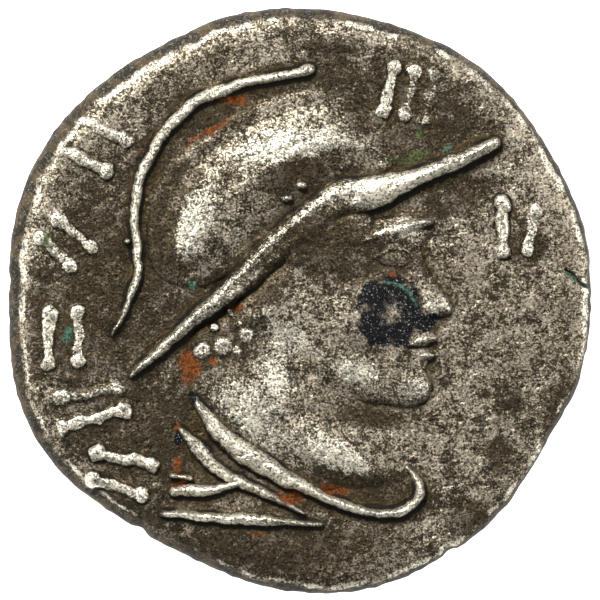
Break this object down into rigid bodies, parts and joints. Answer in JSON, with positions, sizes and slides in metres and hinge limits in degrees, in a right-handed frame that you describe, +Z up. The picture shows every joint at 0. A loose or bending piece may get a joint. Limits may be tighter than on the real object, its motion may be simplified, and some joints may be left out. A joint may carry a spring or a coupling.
{
  "type": "ancient silver coin",
  "caption": "Small struck silver coin with an uneven flan, a helmeted bust in profile on the obverse and a standing lion on the reverse, worn and toned",
  "frame": {"origin": "middle of the flan's box, on the plane the coin rests on", "axes": "+Z up out of the obverse, +Y towards the top of the helmet, +X the way the bust faces"},
  "size_m": [0.015, 0.0151, 0.0015],
  "materials": {
    "toned_silver": "old silver, grey brown toning in the field, bright worn high points"
  },
  "bodies": {
    "root": {"coin": "toned_silver"}
  },
  "joints": []
}
